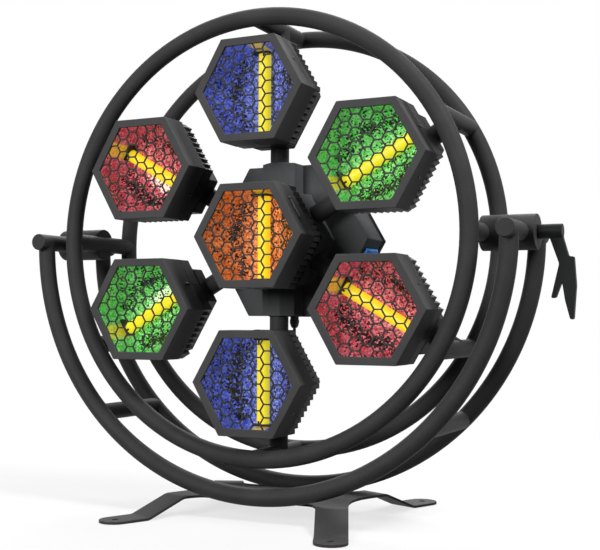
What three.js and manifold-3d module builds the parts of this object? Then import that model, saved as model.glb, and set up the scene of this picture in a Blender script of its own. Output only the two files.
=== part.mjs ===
import * as THREE from 'three';
import { mergeVertices } from 'three/addons/utils/BufferGeometryUtils.js';
import Module from 'manifold-3d';

const wasm = await Module();
wasm.setup();

// Retro led stage light: seven hexagonal lamp heads on a double ring that tilts in a floor cradle.
// Millimetres. +X is to the right seen from the front, +Y is the back and +Z is up.
// The origin is the middle of the base plate's underside.

// Fits
const gap = 0.3;                    // between welded, screwed or bored neighbours
const overrun = 4;                  // how far a cutting body runs past the face it cuts

// Round tube of the frame
const tubeDiameter = 28;
const tubeSideCount = 8;
const ringSegmentCount = 36;

// Head rings and their cross bars
const ringRadius = 350;             // centreline
const ringSpacing = 165;            // front ring plane to rear ring plane
const spokeDiameter = 31;
const spokeSetback = 7;             // spoke centreline behind the middle plane
const spokeInnerRadius = 60;

// Cradle
const cradleStep = 58.5;            // half ring centreline outside the head ring centreline
const cradleBarOverhang = 25;       // pivot bar ends beyond the ring planes
const cradleCrossBarDegrees = 45;   // lower cross bars, either side of straight down

// Tilt pivots
const pivotBossDiameter = 54;
const pivotBossInset = 4;           // head boss starts this far inside the ring centreline
const pivotJointStep = 38;          // from the ring centreline to where the two bosses meet
const pivotBossOverhang = 21.5;     // cradle boss outside the half ring centreline
const pivotPinDiameter = 16;
const pivotPinEndWall = 3;          // from the ring centreline to the end of the pin
const pivotSideCount = 16;
const pinSideCount = 12;

// Clamp handle
const handleShaftDiameter = 22;
const handleShaftLength = 36;
const handlePlateThickness = 10;
const handleReach = 55;             // outwards from the boss face
const handleDrop = 129;             // down from the pivot axis

// Base plate
const plateThickness = 4;
const plateLift = 4.5;              // plate underside above the cradle's lowest line
const legRootOffset = 100;          // leg centreline where it crosses the middle line
const legSplayDegrees = 23.1;       // away from straight forward or back
const legWidth = 50;
const legUpperBend = 97;            // along the leg from its root
const legSlopeRun = 66;             // from the upper bend to the lower bend
const footHoleSetback = 45.8;       // from the lower bend to the hole
const legHoleDiameter = 11;
const footDrop = 26.5;
const outerFilletLength = 60;
const innerFilletStop = 5;          // fillet ends this far short of the upper bend
const innerFilletInset = 12;        // fillet starts this far inside the leg roots
const legTipSegmentCount = 5;

// Lamp head
const headRingClearance = 22.5;     // from a head's outer flat to the ring tube
const headFlats = 165;
const headFront = 110;              // bezel face in front of the middle plane
const sleeveDepth = 52;
const bezelRim = 12.5;              // width of the front rim
const bezelThickness = 4;
const sleeveWall = 3;

// Honeycomb grille
const grilleThickness = 2;
const cellWall = 2;
const cellTuck = 1.75;              // how far the outermost cells run under the rim
const cellRingCount = 3;

// Reflector
const reflectorWall = 1.5;
const reflectorWaistInset = 4.5;    // waist inside the sleeve
const reflectorFloorInset = 2;      // floor inside the cup's pocket
const reflectorFlare = 2;           // how far the waist lies in front of the sleeve's rear edge

// Lamp tube
const lampDiameter = 20;
const lampHolderWidth = 24;
const lampHolderThickness = 3;
const lampHolderRise = 24;
const lampHolderClearance = 0.5;    // to the reflector's end walls
const lampSideCount = 10;

// Heat sink
const finReach = 7.5;               // fins stand this far out of the cup
const cupWall = 4;
const cupFloorThickness = 6;
const finCount = 16;                // on each slanted side, between two full width end fins
const finThickness = 6.5;
const finDepth = 28;
const backBoxInset = 7;             // slanted sides of the back box inside the cup
const grooveSideCount = 16;

// Hub and control box
const hubArmWall = 14.5;            // beside the spoke
const hubFaceWall = 4.5;            // in front of the spoke
const hubBackWall = 12.5;           // behind the spoke
const hubArmFaceWidth = 20.5;       // narrow front face of a long arm
const hubArmSlopeDepth = 16;        // from that face back to the arm's full width
const controlBoxFlats = 252;
const controlBoxDepth = 67;
const controlBoxWall = 3;
const coverOverhang = 1;
const coverThickness = 3;
const coverNeckDepth = 10;          // recessed neck that holds the cover clear of the box
const coverLipDepth = 4;            // part of the neck that sits inside the box
const coverLipWall = 3;
const coverLipClearance = 0.4;

// Menu buttons on the cover
const buttonDiameter = 12;
const buttonProtrusion = 2.5;
const buttonFlangeDiameter = 16;
const buttonFlangeThickness = 2;
const buttonTravel = 1.5;
const buttonSpacing = 24;
const buttonDrop = 62;              // below the cover's centre
const buttonSideCount = 10;

// Driver board in the control box
const boardWidth = 150;
const boardHeight = 110;
const boardThickness = 1.6;
const standoffHeight = 10;
const standoffDiameter = 7;
const standoffInset = 8;
const standoffSideCount = 6;
const supplyWidth = 100;
const supplyHeight = 50;
const supplyRise = 50;
const switchSize = 8;
const switchPressGap = 0.3;

// Power inlet on the lower right face of the control box
const inletFlangeSize = 47;
const inletFlangeThickness = 6;
const inletDiameter = 36;
const inletProtrusion = 12;
const inletFromCorner = 39.5;
const inletSideCount = 12;

// Cable from the control box to the bottom head
const glandSetback = 30;            // behind the front of the control box
const glandDiameter = 16;
const glandLength = 17;
const glandNoseDiameter = 10;
const glandNoseLength = 3;
const glandSideCount = 8;
const cableDiameter = 5;
const cableSideCount = 8;
const cableStepCount = 12;
const cableSpokeClearance = 7.5;
const cableEntryInset = 56.5;       // below the bottom head's upper flat

// Sizes worked out from the ones above
const tubeRadius = tubeDiameter / 2;
const spokeRadius = spokeDiameter / 2;
const cradleRadius = ringRadius + cradleStep;
const pivotJointRadius = ringRadius + pivotJointStep;
const pivotBossEndRadius = cradleRadius + pivotBossOverhang;
const ringPlane = ringSpacing / 2;
const axisHeight = cradleRadius + tubeRadius - plateLift;
const pivotPinLength = pivotJointStep - pivotPinEndWall;
const legLowerBend = legUpperBend + legSlopeRun;
const legHoleDistance = legLowerBend + footHoleSetback;
const innerFilletLength = legUpperBend - innerFilletStop;
const innerFilletStart = legRootOffset - innerFilletInset;
const headRadius = headFlats / 2;
const headPitchRadius = ringRadius - tubeRadius - headRingClearance - headRadius;
const sleeveRear = headFront - sleeveDepth;
const sleeveInnerFlats = headFlats - 2 * sleeveWall;
const bezelOpeningFlats = headFlats - 2 * bezelRim;
const cellPitch = (bezelOpeningFlats + 2 * cellTuck) / (2 * cellRingCount + 1);
const cupFlats = headFlats - 2 * finReach;
const cupPocketFlats = cupFlats - 2 * cupWall;
const finRear = sleeveRear - finDepth;
const cupFloor = finRear + cupFloorThickness;
const finPitch = headFlats / (finCount + 2);
const backBoxFlats = cupFlats - 2 * backBoxInset;
const reflectorWaistFlats = sleeveInnerFlats - 2 * reflectorWaistInset;
const reflectorFloorFlats = cupPocketFlats - 2 * reflectorFloorInset;
const hubFront = spokeRadius - spokeSetback + hubFaceWall;
const controlBoxFront = spokeSetback + spokeRadius + hubBackWall;
const controlBoxRear = controlBoxFront + controlBoxDepth;
const controlBoxMiddle = (controlBoxFront + controlBoxRear) / 2;
const coverFlats = controlBoxFlats + 2 * coverOverhang;
const bearingBoreRadius = (pivotPinDiameter / 2 + gap) / Math.cos(Math.PI / pinSideCount);
const pivotBossFace = pivotBossEndRadius + gap;
const coverFront = controlBoxRear + coverNeckDepth;
const coverRear = coverFront + coverThickness;
const headNames = ['top', 'upper_right', 'lower_right', 'bottom', 'lower_left', 'upper_left'];
const headAngles = [90, 30, -30, -90, -150, 150];

const hexSideCount = 6;
const cos30 = Math.cos(Math.PI / 6);
const sin30 = Math.sin(Math.PI / 6);

// Handle outline, as shares of the handle's reach and drop, round the fork from the shaft
const handleOutlineShares = [
  [0.27, 0.02], [0.65, 0], [0.67, 0.08], [0.81, 0.29], [0.95, 0.29], [1, 0.62], [0.93, 1],
  [0.84, 1], [0.71, 0.79], [0.63, 0.57], [0.46, 0.76], [0.34, 0.76], [0.56, 0.37], [0.32, 0.08],
];

// Colours and finishes
const finishes = {
  frame: { color: 0x3a3b3c, roughness: 0.6, metalness: 0.3 },
  housing: { color: 0x454546, roughness: 0.65, metalness: 0.2 },
  sink: { color: 0x2c2d2e, roughness: 0.55, metalness: 0.5 },
  grille: { color: 0x35322c, roughness: 0.5, metalness: 0.4 },
  lamp: { color: 0xf5e12a, roughness: 0.4, metalness: 0 },
  blue: { color: 0x3a4ba8, roughness: 0.3, metalness: 0.6 },
  green: { color: 0x3fae3f, roughness: 0.3, metalness: 0.6 },
  red: { color: 0xc0394b, roughness: 0.3, metalness: 0.6 },
  orange: { color: 0xd8641f, roughness: 0.3, metalness: 0.6 },
  inlet: { color: 0x2a6fc9, roughness: 0.4, metalness: 0 },
  board: { color: 0x1f5a34, roughness: 0.6, metalness: 0 },
  rubber: { color: 0x1c1c1d, roughness: 0.8, metalness: 0 },
  button: { color: 0x202122, roughness: 0.7, metalness: 0 },
};
const headColours = {
  top: 'blue', upper_right: 'green', lower_right: 'red', bottom: 'blue',
  lower_left: 'green', upper_left: 'red', centre: 'orange',
};

// Solids and meshes

function solidOf(geometry) {
  const bare = geometry.clone();
  bare.deleteAttribute('normal');
  bare.deleteAttribute('uv');
  const merged = mergeVertices(bare);
  const vertProperties = new Float32Array(merged.attributes.position.array);
  const triVerts = new Uint32Array(merged.index.array);
  return new wasm.Manifold(new wasm.Mesh({ numProp: 3, vertProperties, triVerts }));
}

function geometryOf(solid) {
  const mesh = solid.getMesh();
  const geometry = new THREE.BufferGeometry();
  geometry.setAttribute('position', new THREE.BufferAttribute(new Float32Array(mesh.vertProperties), 3));
  geometry.setIndex(new THREE.BufferAttribute(new Uint32Array(mesh.triVerts), 1));
  geometry.computeVertexNormals();
  return geometry;
}

function combine(added, removed = []) {
  let solid = solidOf(added[0]);
  for (const geometry of added.slice(1)) solid = solid.add(solidOf(geometry));
  for (const geometry of removed) solid = solid.subtract(solidOf(geometry));
  return geometryOf(solid);
}

function named(name, geometry, finish) {
  const mesh = new THREE.Mesh(geometry, new THREE.MeshStandardMaterial(finishes[finish]));
  mesh.name = name;
  return mesh;
}

// Round bar along Y, X or Z between two places on that axis
function barAlongY(radius, from, to, sides) {
  return new THREE.CylinderGeometry(radius, radius, to - from, sides).translate(0, (from + to) / 2, 0);
}

function barAlongX(radius, from, to, sides) {
  return barAlongY(radius, from, to, sides).rotateZ(-Math.PI / 2);
}

function barAlongZ(radius, from, to, sides) {
  return barAlongY(radius, from, to, sides).rotateX(Math.PI / 2);
}

function block(width, depth, height, x, y, z) {
  return new THREE.BoxGeometry(width, depth, height).translate(x, y, z);
}

// An outline in X and Z, pushed back from the plane at front to the plane at rear
function prism(shape, front, rear, curveSegments = 1) {
  const depth = rear - front;
  const geometry = new THREE.ExtrudeGeometry(shape, { depth, bevelEnabled: false, curveSegments });
  return geometry.rotateX(Math.PI / 2).translate(0, rear, 0);
}

// A hexagon with flats at the top and bottom; points are [distance across flats, y]
function hexLathe(profile) {
  const points = profile.map(([flats, y]) => new THREE.Vector2(flats / 2 / cos30, y));
  return new THREE.LatheGeometry(points, hexSideCount, Math.PI / 6);
}

function hexDistance(x, z) {
  return Math.max(Math.abs(z), Math.abs(x) * cos30 + Math.abs(z) * sin30);
}

// Half width, at height z, of a hexagon whose slanted flats lie at the given distance
function hexHalfWidth(apothem, z) {
  return (apothem - Math.abs(z) * sin30) / cos30;
}

// Turned so that the group's +Z points along the given angle from +X
function radialGroup(degrees, radius = 0) {
  const angle = THREE.MathUtils.degToRad(degrees);
  const group = new THREE.Group();
  group.position.set(radius * Math.cos(angle), 0, radius * Math.sin(angle));
  group.rotation.y = Math.PI / 2 - angle;
  return group;
}

// Rings and cross bars

function ring(radius, plane, tube) {
  const geometry = new THREE.TorusGeometry(radius, tube, tubeSideCount, ringSegmentCount);
  return geometry.rotateX(Math.PI / 2).translate(0, plane, 0);
}

function ringPair(radius, tube) {
  return [ring(radius, -ringPlane, tube), ring(radius, ringPlane, tube)];
}

function crossBar(x, z) {
  return barAlongY(tubeRadius, -ringPlane, ringPlane, tubeSideCount).translate(x, 0, z);
}

// A radial spoke welded to the cross bar that it meets between the rings
function spokeGeometry() {
  const spoke = barAlongZ(spokeRadius, spokeInnerRadius, ringRadius, tubeSideCount);
  spoke.translate(0, spokeSetback, 0);
  return combine([spoke, crossBar(0, ringRadius)], ringPair(ringRadius, tubeRadius + gap));
}

// Tilt pivots

function ringPivotGeometry(side) {
  const from = ringRadius - pivotBossInset;
  const to = pivotJointRadius - gap / 2;
  const boss = barAlongX(pivotBossDiameter / 2, from, to, pivotSideCount);
  const boreStart = pivotJointRadius - pivotPinLength - gap;
  const bore = barAlongX(bearingBoreRadius, boreStart, to + overrun, pinSideCount);
  const solid = combine(
    [boss, crossBar(ringRadius, 0)],
    [...ringPair(ringRadius, tubeRadius + gap), bore],
  );
  return side > 0 ? solid : solid.rotateZ(Math.PI);
}

function cradlePivotGeometry(side) {
  const reach = ringPlane + cradleBarOverhang;
  const bar = barAlongY(tubeRadius, -reach, reach, tubeSideCount).translate(cradleRadius, 0, 0);
  const inner = pivotJointRadius + gap / 2;
  const boss = barAlongX(pivotBossDiameter / 2, inner, pivotBossEndRadius, pivotSideCount);
  const pinStart = pivotJointRadius - pivotPinLength;
  const pin = barAlongX(pivotPinDiameter / 2, pinStart, cradleRadius, pinSideCount);
  const bore = barAlongX(bearingBoreRadius, inner - overrun, pivotBossEndRadius + overrun, pinSideCount);
  if (side > 0) return combine([bar, boss], [bore]);
  return combine([bar, boss, pin]).rotateZ(Math.PI);
}

// Threaded stud, shaft and forked lever in one piece
function clampHandleGeometry() {
  const studStart = pivotJointRadius - pivotPinLength;
  const stud = barAlongX(pivotPinDiameter / 2, studStart, pivotBossFace + overrun, pinSideCount);
  const shaftEnd = pivotBossFace + handleShaftLength;
  const shaft = barAlongX(handleShaftDiameter / 2, pivotBossFace, shaftEnd, pivotSideCount);
  const corners = handleOutlineShares.map(([out, down]) => (
    new THREE.Vector2(pivotBossFace + out * handleReach, -down * handleDrop)
  ));
  const lever = prism(new THREE.Shape(corners), -handlePlateThickness / 2, handlePlateThickness / 2);
  return combine([stud, shaft, lever]);
}

// Cradle

function cradleHalfRingGeometry(plane) {
  const reach = cradleRadius + tubeRadius + overrun;
  const above = block(2 * reach, 2 * reach, reach, 0, 0, reach / 2);
  const barReach = ringPlane + cradleBarOverhang + overrun;
  const bar = barAlongY(tubeRadius + gap, -barReach, barReach, tubeSideCount);
  const bars = [bar.clone().translate(-cradleRadius, 0, 0), bar.clone().translate(cradleRadius, 0, 0)];
  return combine([ring(cradleRadius, plane, tubeRadius)], [above, ...bars]);
}

function cradleCrossBarGeometry(side) {
  const angle = THREE.MathUtils.degToRad(cradleCrossBarDegrees);
  const x = side * cradleRadius * Math.sin(angle);
  const z = -cradleRadius * Math.cos(angle);
  return combine([crossBar(x, z)], ringPair(cradleRadius, tubeRadius + gap));
}

// Base plate, bent from one sheet; a leg point lies along the leg and to its outer or inner side

function legPoint(along, outward) {
  const splay = THREE.MathUtils.degToRad(legSplayDegrees);
  const x = legRootOffset + along * Math.sin(splay) + outward * Math.cos(splay);
  const y = -along * Math.cos(splay) + outward * Math.sin(splay);
  return [x, y];
}

function legCrossing(outward, y) {
  const splay = THREE.MathUtils.degToRad(legSplayDegrees);
  const along = (outward * Math.sin(splay) - y) / Math.cos(splay);
  return legPoint(along, outward)[0];
}

function middlePlateShape() {
  const drop = tubeRadius - plateLift - plateThickness;
  const tubeReach = tubeRadius - drop * Math.tan(Math.PI / tubeSideCount);
  const edge = ringPlane - tubeReach - gap;
  const [innerX, innerY] = legPoint(innerFilletLength, -legWidth / 2);
  const [rootX, rootY] = legPoint(innerFilletLength, legWidth / 2);
  const [outerX, outerY] = legPoint(outerFilletLength, legWidth / 2);
  const insideCorner = legCrossing(-legWidth / 2, -edge);
  const outsideCorner = legCrossing(legWidth / 2, 0);
  const shape = new THREE.Shape();
  shape.moveTo(innerFilletStart, -edge);
  for (const side of [1, -1]) {
    shape.lineTo(side * innerFilletStart, -side * edge);
    shape.quadraticCurveTo(side * insideCorner, -side * edge, side * innerX, side * innerY);
    shape.lineTo(side * rootX, side * rootY);
    shape.lineTo(side * outerX, side * outerY);
    shape.quadraticCurveTo(side * outsideCorner, 0, side * outerX, -side * outerY);
    shape.lineTo(side * rootX, -side * rootY);
    shape.lineTo(side * innerX, -side * innerY);
    shape.quadraticCurveTo(side * insideCorner, side * edge, side * innerFilletStart, side * edge);
  }
  return shape;
}

function legGeometry() {
  const slope = Math.atan2(footDrop, legLowerBend - legUpperBend);
  const shift = plateThickness * Math.tan(slope / 2);
  const tip = legHoleDistance + legWidth / 2;
  const profile = new THREE.Shape([
    new THREE.Vector2(0, 0),
    new THREE.Vector2(legUpperBend - shift, 0),
    new THREE.Vector2(legLowerBend - shift, -footDrop),
    new THREE.Vector2(tip, -footDrop),
    new THREE.Vector2(tip, plateThickness - footDrop),
    new THREE.Vector2(legLowerBend, plateThickness - footDrop),
    new THREE.Vector2(legUpperBend, plateThickness),
    new THREE.Vector2(0, plateThickness),
  ]);
  const strip = prism(profile, -legWidth / 2, legWidth / 2);
  const plan = new THREE.Shape();
  plan.moveTo(-overrun, -legWidth / 2);
  plan.lineTo(legHoleDistance, -legWidth / 2);
  plan.absarc(legHoleDistance, 0, legWidth / 2, -Math.PI / 2, Math.PI / 2);
  plan.lineTo(-overrun, legWidth / 2);
  const height = footDrop + plateThickness + 2 * overrun;
  const rounding = new THREE.ExtrudeGeometry(
    plan,
    { depth: height, bevelEnabled: false, curveSegments: legTipSegmentCount },
  ).translate(0, 0, -footDrop - overrun);
  const hole = barAlongZ(legHoleDiameter / 2, -footDrop - overrun, plateThickness, tubeSideCount);
  const leg = solidOf(strip).intersect(solidOf(rounding));
  return geometryOf(leg.subtract(solidOf(hole.translate(legHoleDistance, 0, 0))));
}

function basePlateGeometry() {
  const plate = new THREE.ExtrudeGeometry(
    middlePlateShape(),
    { depth: plateThickness, bevelEnabled: false, curveSegments: legTipSegmentCount },
  );
  const pieces = [plate];
  for (const side of [1, -1]) {
    for (const end of [1, -1]) {
      const leg = legGeometry();
      leg.rotateZ(side * end * THREE.MathUtils.degToRad(90 - legSplayDegrees) + (side < 0 ? Math.PI : 0));
      pieces.push(leg.translate(side * legRootOffset, 0, 0));
    }
  }
  return combine(pieces);
}

// Lamp head, built with its lamp upright

function housingGeometry() {
  const step = bezelThickness - headFront;
  return hexLathe([
    [bezelOpeningFlats, -headFront], [bezelOpeningFlats, step], [sleeveInnerFlats, step],
    [sleeveInnerFlats, -sleeveRear], [headFlats, -sleeveRear], [headFlats, -headFront],
    [bezelOpeningFlats, -headFront],
  ].reverse());
}

function hexHole(size, x, z) {
  const path = new THREE.Path();
  for (let corner = 0; corner < hexSideCount; corner += 1) {
    const angle = corner * Math.PI / 3;
    const radius = size / 2 / cos30;
    const point = [x + radius * Math.cos(angle), z + radius * Math.sin(angle)];
    if (corner === 0) path.moveTo(...point);
    else path.lineTo(...point);
  }
  path.closePath();
  return path;
}

function grilleGeometry() {
  const front = bezelThickness + gap - headFront;
  const plateFlats = sleeveInnerFlats - 2 * gap;
  const shape = new THREE.Shape(hexHole(plateFlats, 0, 0).getPoints().slice(0, hexSideCount));
  const reach = cellRingCount * cellPitch + gap;
  const columnCount = cellRingCount + 1;
  for (let column = -columnCount; column <= columnCount; column += 1) {
    const x = column * cellPitch * cos30;
    for (let row = -columnCount; row <= columnCount; row += 1) {
      const z = (row + (column % 2 === 0 ? 0 : 0.5)) * cellPitch;
      if (hexDistance(x, z) <= reach) shape.holes.push(hexHole(cellPitch - cellWall, x, z));
    }
  }
  return prism(shape, front, front + grilleThickness);
}

function reflectorGeometry() {
  const front = bezelThickness + grilleThickness + 2 * gap - headFront;
  const mouthFlats = sleeveInnerFlats - 2 * gap;
  const waist = -sleeveRear - reflectorFlare;
  const floor = -cupFloor - gap;
  const wall = 2 * reflectorWall;
  return hexLathe([
    [0, floor], [reflectorFloorFlats, floor], [cupPocketFlats - 2 * gap, -sleeveRear],
    [reflectorWaistFlats, waist], [mouthFlats, front], [mouthFlats - wall, front],
    [reflectorWaistFlats - wall, waist - reflectorWall], [reflectorFloorFlats - wall, floor - reflectorWall],
    [0, floor - reflectorWall],
  ].reverse());
}

function lampGeometry() {
  const seat = -cupFloor - reflectorWall - 2 * gap;
  const rise = seat - lampHolderRise / 2;
  const wallFlats = reflectorFloorFlats - 2 * reflectorWall;
  const place = wallFlats / 2 - lampHolderClearance - lampHolderThickness / 2;
  const tube = barAlongZ(lampDiameter / 2, -place, place, lampSideCount).translate(0, rise, 0);
  const holders = [-place, place].map((z) => (
    block(lampHolderWidth, lampHolderRise, lampHolderThickness, 0, rise, z)
  ));
  return combine([tube, ...holders]);
}

// Outline of the finned cup: a tooth for each fin on both slanted sides
function finOutline() {
  const core = cupFlats / 2;
  const side = [[hexHalfWidth(core, core), -core]];
  for (let fin = 0; fin < finCount; fin += 1) {
    const z = (fin - (finCount - 1) / 2) * finPitch;
    const low = z - finThickness / 2;
    const high = z + finThickness / 2;
    const out = hexHalfWidth(headRadius, Math.abs(z) + finThickness / 2);
    side.push([hexHalfWidth(core, low), low], [out, low], [out, high], [hexHalfWidth(core, high), high]);
  }
  side.push([hexHalfWidth(core, core), core]);
  const other = side.map(([x, z]) => [-x, -z]);
  return new THREE.Shape([...side, ...other].map(([x, z]) => new THREE.Vector2(x, z)));
}

function backBoxShape() {
  const tip = backBoxFlats / 2 / cos30;
  const shoulder = hexHalfWidth(backBoxFlats / 2, headRadius);
  const corners = [
    [tip, 0], [shoulder, headRadius], [-shoulder, headRadius],
    [-tip, 0], [-shoulder, -headRadius], [shoulder, -headRadius],
  ];
  return new THREE.Shape(corners.map(([x, z]) => new THREE.Vector2(x, z)));
}

function heatSinkGeometry(boxRear, saddled) {
  const finFront = gap - sleeveRear;
  const fins = prism(finOutline(), finFront, -finRear);
  const endZ = (finCount + 1) / 2 * finPitch;
  const endWidth = 2 * hexHalfWidth(headRadius, endZ + finThickness / 2);
  const endFins = [-endZ, endZ].map((z) => (
    block(endWidth, -finRear - finFront, finThickness, 0, (finFront - finRear) / 2, z)
  ));
  const box = prism(backBoxShape(), -finRear, boxRear);
  const pocket = hexLathe([
    [0, finFront - overrun], [cupPocketFlats, finFront - overrun], [cupPocketFlats, -cupFloor], [0, -cupFloor],
  ]);
  const reach = headRadius + overrun;
  const groove = barAlongZ(spokeRadius + gap, -reach, reach, grooveSideCount).translate(0, spokeSetback, 0);
  return combine([fins, ...endFins, box], saddled ? [pocket, groove] : [pocket]);
}

function headParts(name, boxRear, saddled) {
  return [
    named(`${name}_housing`, housingGeometry(), 'housing'),
    named(`${name}_grille`, grilleGeometry(), 'grille'),
    named(`${name}_reflector`, reflectorGeometry(), headColours[name]),
    named(`${name}_lamp`, lampGeometry(), 'lamp'),
    named(`${name}_heat_sink`, heatSinkGeometry(boxRear, saddled), 'sink'),
  ];
}

// Control box: hollow hexagonal case on a hub that the six spokes enter

function hubArmShape() {
  const half = spokeRadius + hubArmWall;
  const face = hubArmFaceWidth / 2;
  const shoulder = hubArmSlopeDepth - hubFront;
  return new THREE.Shape([
    new THREE.Vector2(-face, -hubFront),
    new THREE.Vector2(face, -hubFront),
    new THREE.Vector2(half, shoulder),
    new THREE.Vector2(half, controlBoxFront + controlBoxWall / 2),
    new THREE.Vector2(-half, controlBoxFront + controlBoxWall / 2),
    new THREE.Vector2(-half, shoulder),
  ]);
}

function controlBoxGeometry() {
  const innerFlats = controlBoxFlats - 2 * controlBoxWall;
  const floor = controlBoxFront + controlBoxWall;
  const shell = hexLathe([
    [0, -hubFront], [cupFlats, -hubFront], [cupFlats, controlBoxFront], [controlBoxFlats, controlBoxFront],
    [controlBoxFlats, controlBoxRear], [innerFlats, controlBoxRear], [innerFlats, floor], [0, floor],
  ]);
  const arm = new THREE.ExtrudeGeometry(hubArmShape(), { depth: controlBoxFlats, bevelEnabled: false });
  arm.translate(0, 0, -controlBoxFlats / 2);
  const bores = [];
  for (let turn = 0; turn < hexSideCount; turn += 1) {
    const bore = barAlongZ(spokeRadius + gap, spokeInnerRadius - gap, controlBoxFlats, tubeSideCount);
    bores.push(bore.translate(0, spokeSetback, 0).rotateY(turn * Math.PI / 3));
  }
  return combine([shell, arm], bores);
}

function coverGeometry() {
  const lipFlats = controlBoxFlats - 2 * controlBoxWall - 2 * coverLipClearance;
  const lipFront = controlBoxRear - coverLipDepth;
  const plate = hexLathe([
    [0, coverFront], [lipFlats - 2 * coverLipWall, coverFront], [lipFlats - 2 * coverLipWall, lipFront],
    [lipFlats, lipFront], [lipFlats, coverFront], [coverFlats, coverFront], [coverFlats, coverRear],
    [0, coverRear],
  ]);
  const radius = (buttonDiameter / 2 + gap) / Math.cos(Math.PI / buttonSideCount);
  const holes = [-1, 1].map((side) => (
    barAlongY(radius, lipFront, coverRear + overrun, buttonSideCount)
      .translate(side * buttonSpacing / 2, 0, -buttonDrop)
  ));
  return combine([plate], holes);
}

function switchTop() {
  return controlBoxFront + controlBoxWall + gap + standoffHeight + boardThickness + supplyRise;
}

function buttonGeometry() {
  const stemEnd = switchTop() + buttonTravel + switchPressGap;
  const flangeRear = coverFront - gap;
  const cap = barAlongY(buttonDiameter / 2, stemEnd, coverRear + buttonProtrusion, buttonSideCount);
  const flange = barAlongY(
    buttonFlangeDiameter / 2,
    flangeRear - buttonFlangeThickness,
    flangeRear,
    buttonSideCount,
  );
  return combine([cap, flange]);
}

function driverBoardGeometry() {
  const foot = controlBoxFront + controlBoxWall + gap;
  const boardRear = foot + standoffHeight + boardThickness;
  const board = block(boardWidth, boardThickness, boardHeight, 0, boardRear - boardThickness / 2, 0);
  const supply = block(supplyWidth, supplyRise, supplyHeight, 0, boardRear + supplyRise / 2, 0);
  const bank = block(
    buttonSpacing + switchSize,
    supplyRise,
    buttonDrop - supplyHeight / 2 + switchSize,
    0,
    boardRear + supplyRise / 2,
    -(buttonDrop + supplyHeight / 2 + switchSize) / 2,
  );
  const pieces = [board, supply, bank];
  for (const side of [-1, 1]) {
    for (const end of [-1, 1]) {
      const top = boardRear - boardThickness / 2;
      const standoff = barAlongY(standoffDiameter / 2, foot, top, standoffSideCount);
      const across = side * (boardWidth / 2 - standoffInset);
      const up = end * (boardHeight / 2 - standoffInset);
      pieces.push(standoff.translate(across, 0, up));
    }
  }
  return combine(pieces);
}

function powerInletGeometry() {
  const face = controlBoxFlats / 2 + gap;
  const flangeTop = face + inletFlangeThickness;
  const middle = face + inletFlangeThickness / 2;
  const flange = block(inletFlangeSize, inletFlangeSize, inletFlangeThickness, 0, 0, middle);
  const barrel = barAlongZ(inletDiameter / 2, flangeTop - gap, flangeTop + inletProtrusion, inletSideCount);
  const sideLength = controlBoxFlats / 2 / cos30;
  return combine([flange, barrel]).translate(inletFromCorner - sideLength / 2, controlBoxMiddle, 0);
}

// Cable held between its gland under the control box and the bottom head's back box
function headCableGeometry() {
  const depth = controlBoxFront + glandSetback;
  const glandTop = -controlBoxFlats / 2 - gap;
  const glandEnd = glandTop - glandLength;
  const noseEnd = glandEnd - glandNoseLength;
  const gland = barAlongZ(glandDiameter / 2, glandEnd, glandTop, glandSideCount);
  const nose = barAlongZ(glandNoseDiameter / 2, noseEnd, glandEnd + gap, glandSideCount);
  for (const piece of [gland, nose]) piece.translate(0, depth, 0);
  const entryX = spokeRadius + cableSpokeClearance + cableDiameter / 2;
  const entryZ = headRadius - headPitchRadius - cableEntryInset;
  const lead = 3 * cableDiameter;
  const route = new THREE.CatmullRomCurve3([
    new THREE.Vector3(0, depth, noseEnd + gap),
    new THREE.Vector3(0, depth, noseEnd - lead),
    new THREE.Vector3(entryX / 2, depth / 2 + lead, entryZ + lead),
    new THREE.Vector3(entryX, lead, entryZ),
    new THREE.Vector3(entryX, gap, entryZ),
  ]);
  const section = new THREE.Shape();
  section.absarc(0, 0, cableDiameter / 2, 0, 2 * Math.PI);
  const cable = new THREE.ExtrudeGeometry(section, {
    steps: cableStepCount,
    curveSegments: cableSideCount / 2,
    extrudePath: route,
    bevelEnabled: false,
  });
  return combine([gland, nose, cable]);
}

// Assembly

const light = new THREE.Group();
const upper = new THREE.Group();
upper.position.z = axisHeight;
light.add(upper);

light.add(named('base_plate', basePlateGeometry(), 'frame'));

upper.add(named('front_ring', ring(ringRadius, -ringPlane, tubeRadius), 'frame'));
upper.add(named('rear_ring', ring(ringRadius, ringPlane, tubeRadius), 'frame'));
upper.add(named('cradle_front_half_ring', cradleHalfRingGeometry(-ringPlane), 'frame'));
upper.add(named('cradle_rear_half_ring', cradleHalfRingGeometry(ringPlane), 'frame'));

for (const [word, side] of [['left', -1], ['right', 1]]) {
  upper.add(named(`${word}_ring_pivot`, ringPivotGeometry(side), 'frame'));
  upper.add(named(`${word}_cradle_pivot`, cradlePivotGeometry(side), 'frame'));
  upper.add(named(`${word}_cradle_cross_bar`, cradleCrossBarGeometry(side), 'frame'));
}
upper.add(named('clamp_handle', clampHandleGeometry(), 'frame'));

headNames.forEach((name, index) => {
  const spoke = radialGroup(headAngles[index]);
  spoke.add(named(`${name}_spoke`, spokeGeometry(), 'frame'));
  const head = radialGroup(headAngles[index], headPitchRadius);
  head.add(...headParts(name, 0, true));
  upper.add(spoke, head);
});
upper.add(...headParts('centre', -hubFront - gap, false));

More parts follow.
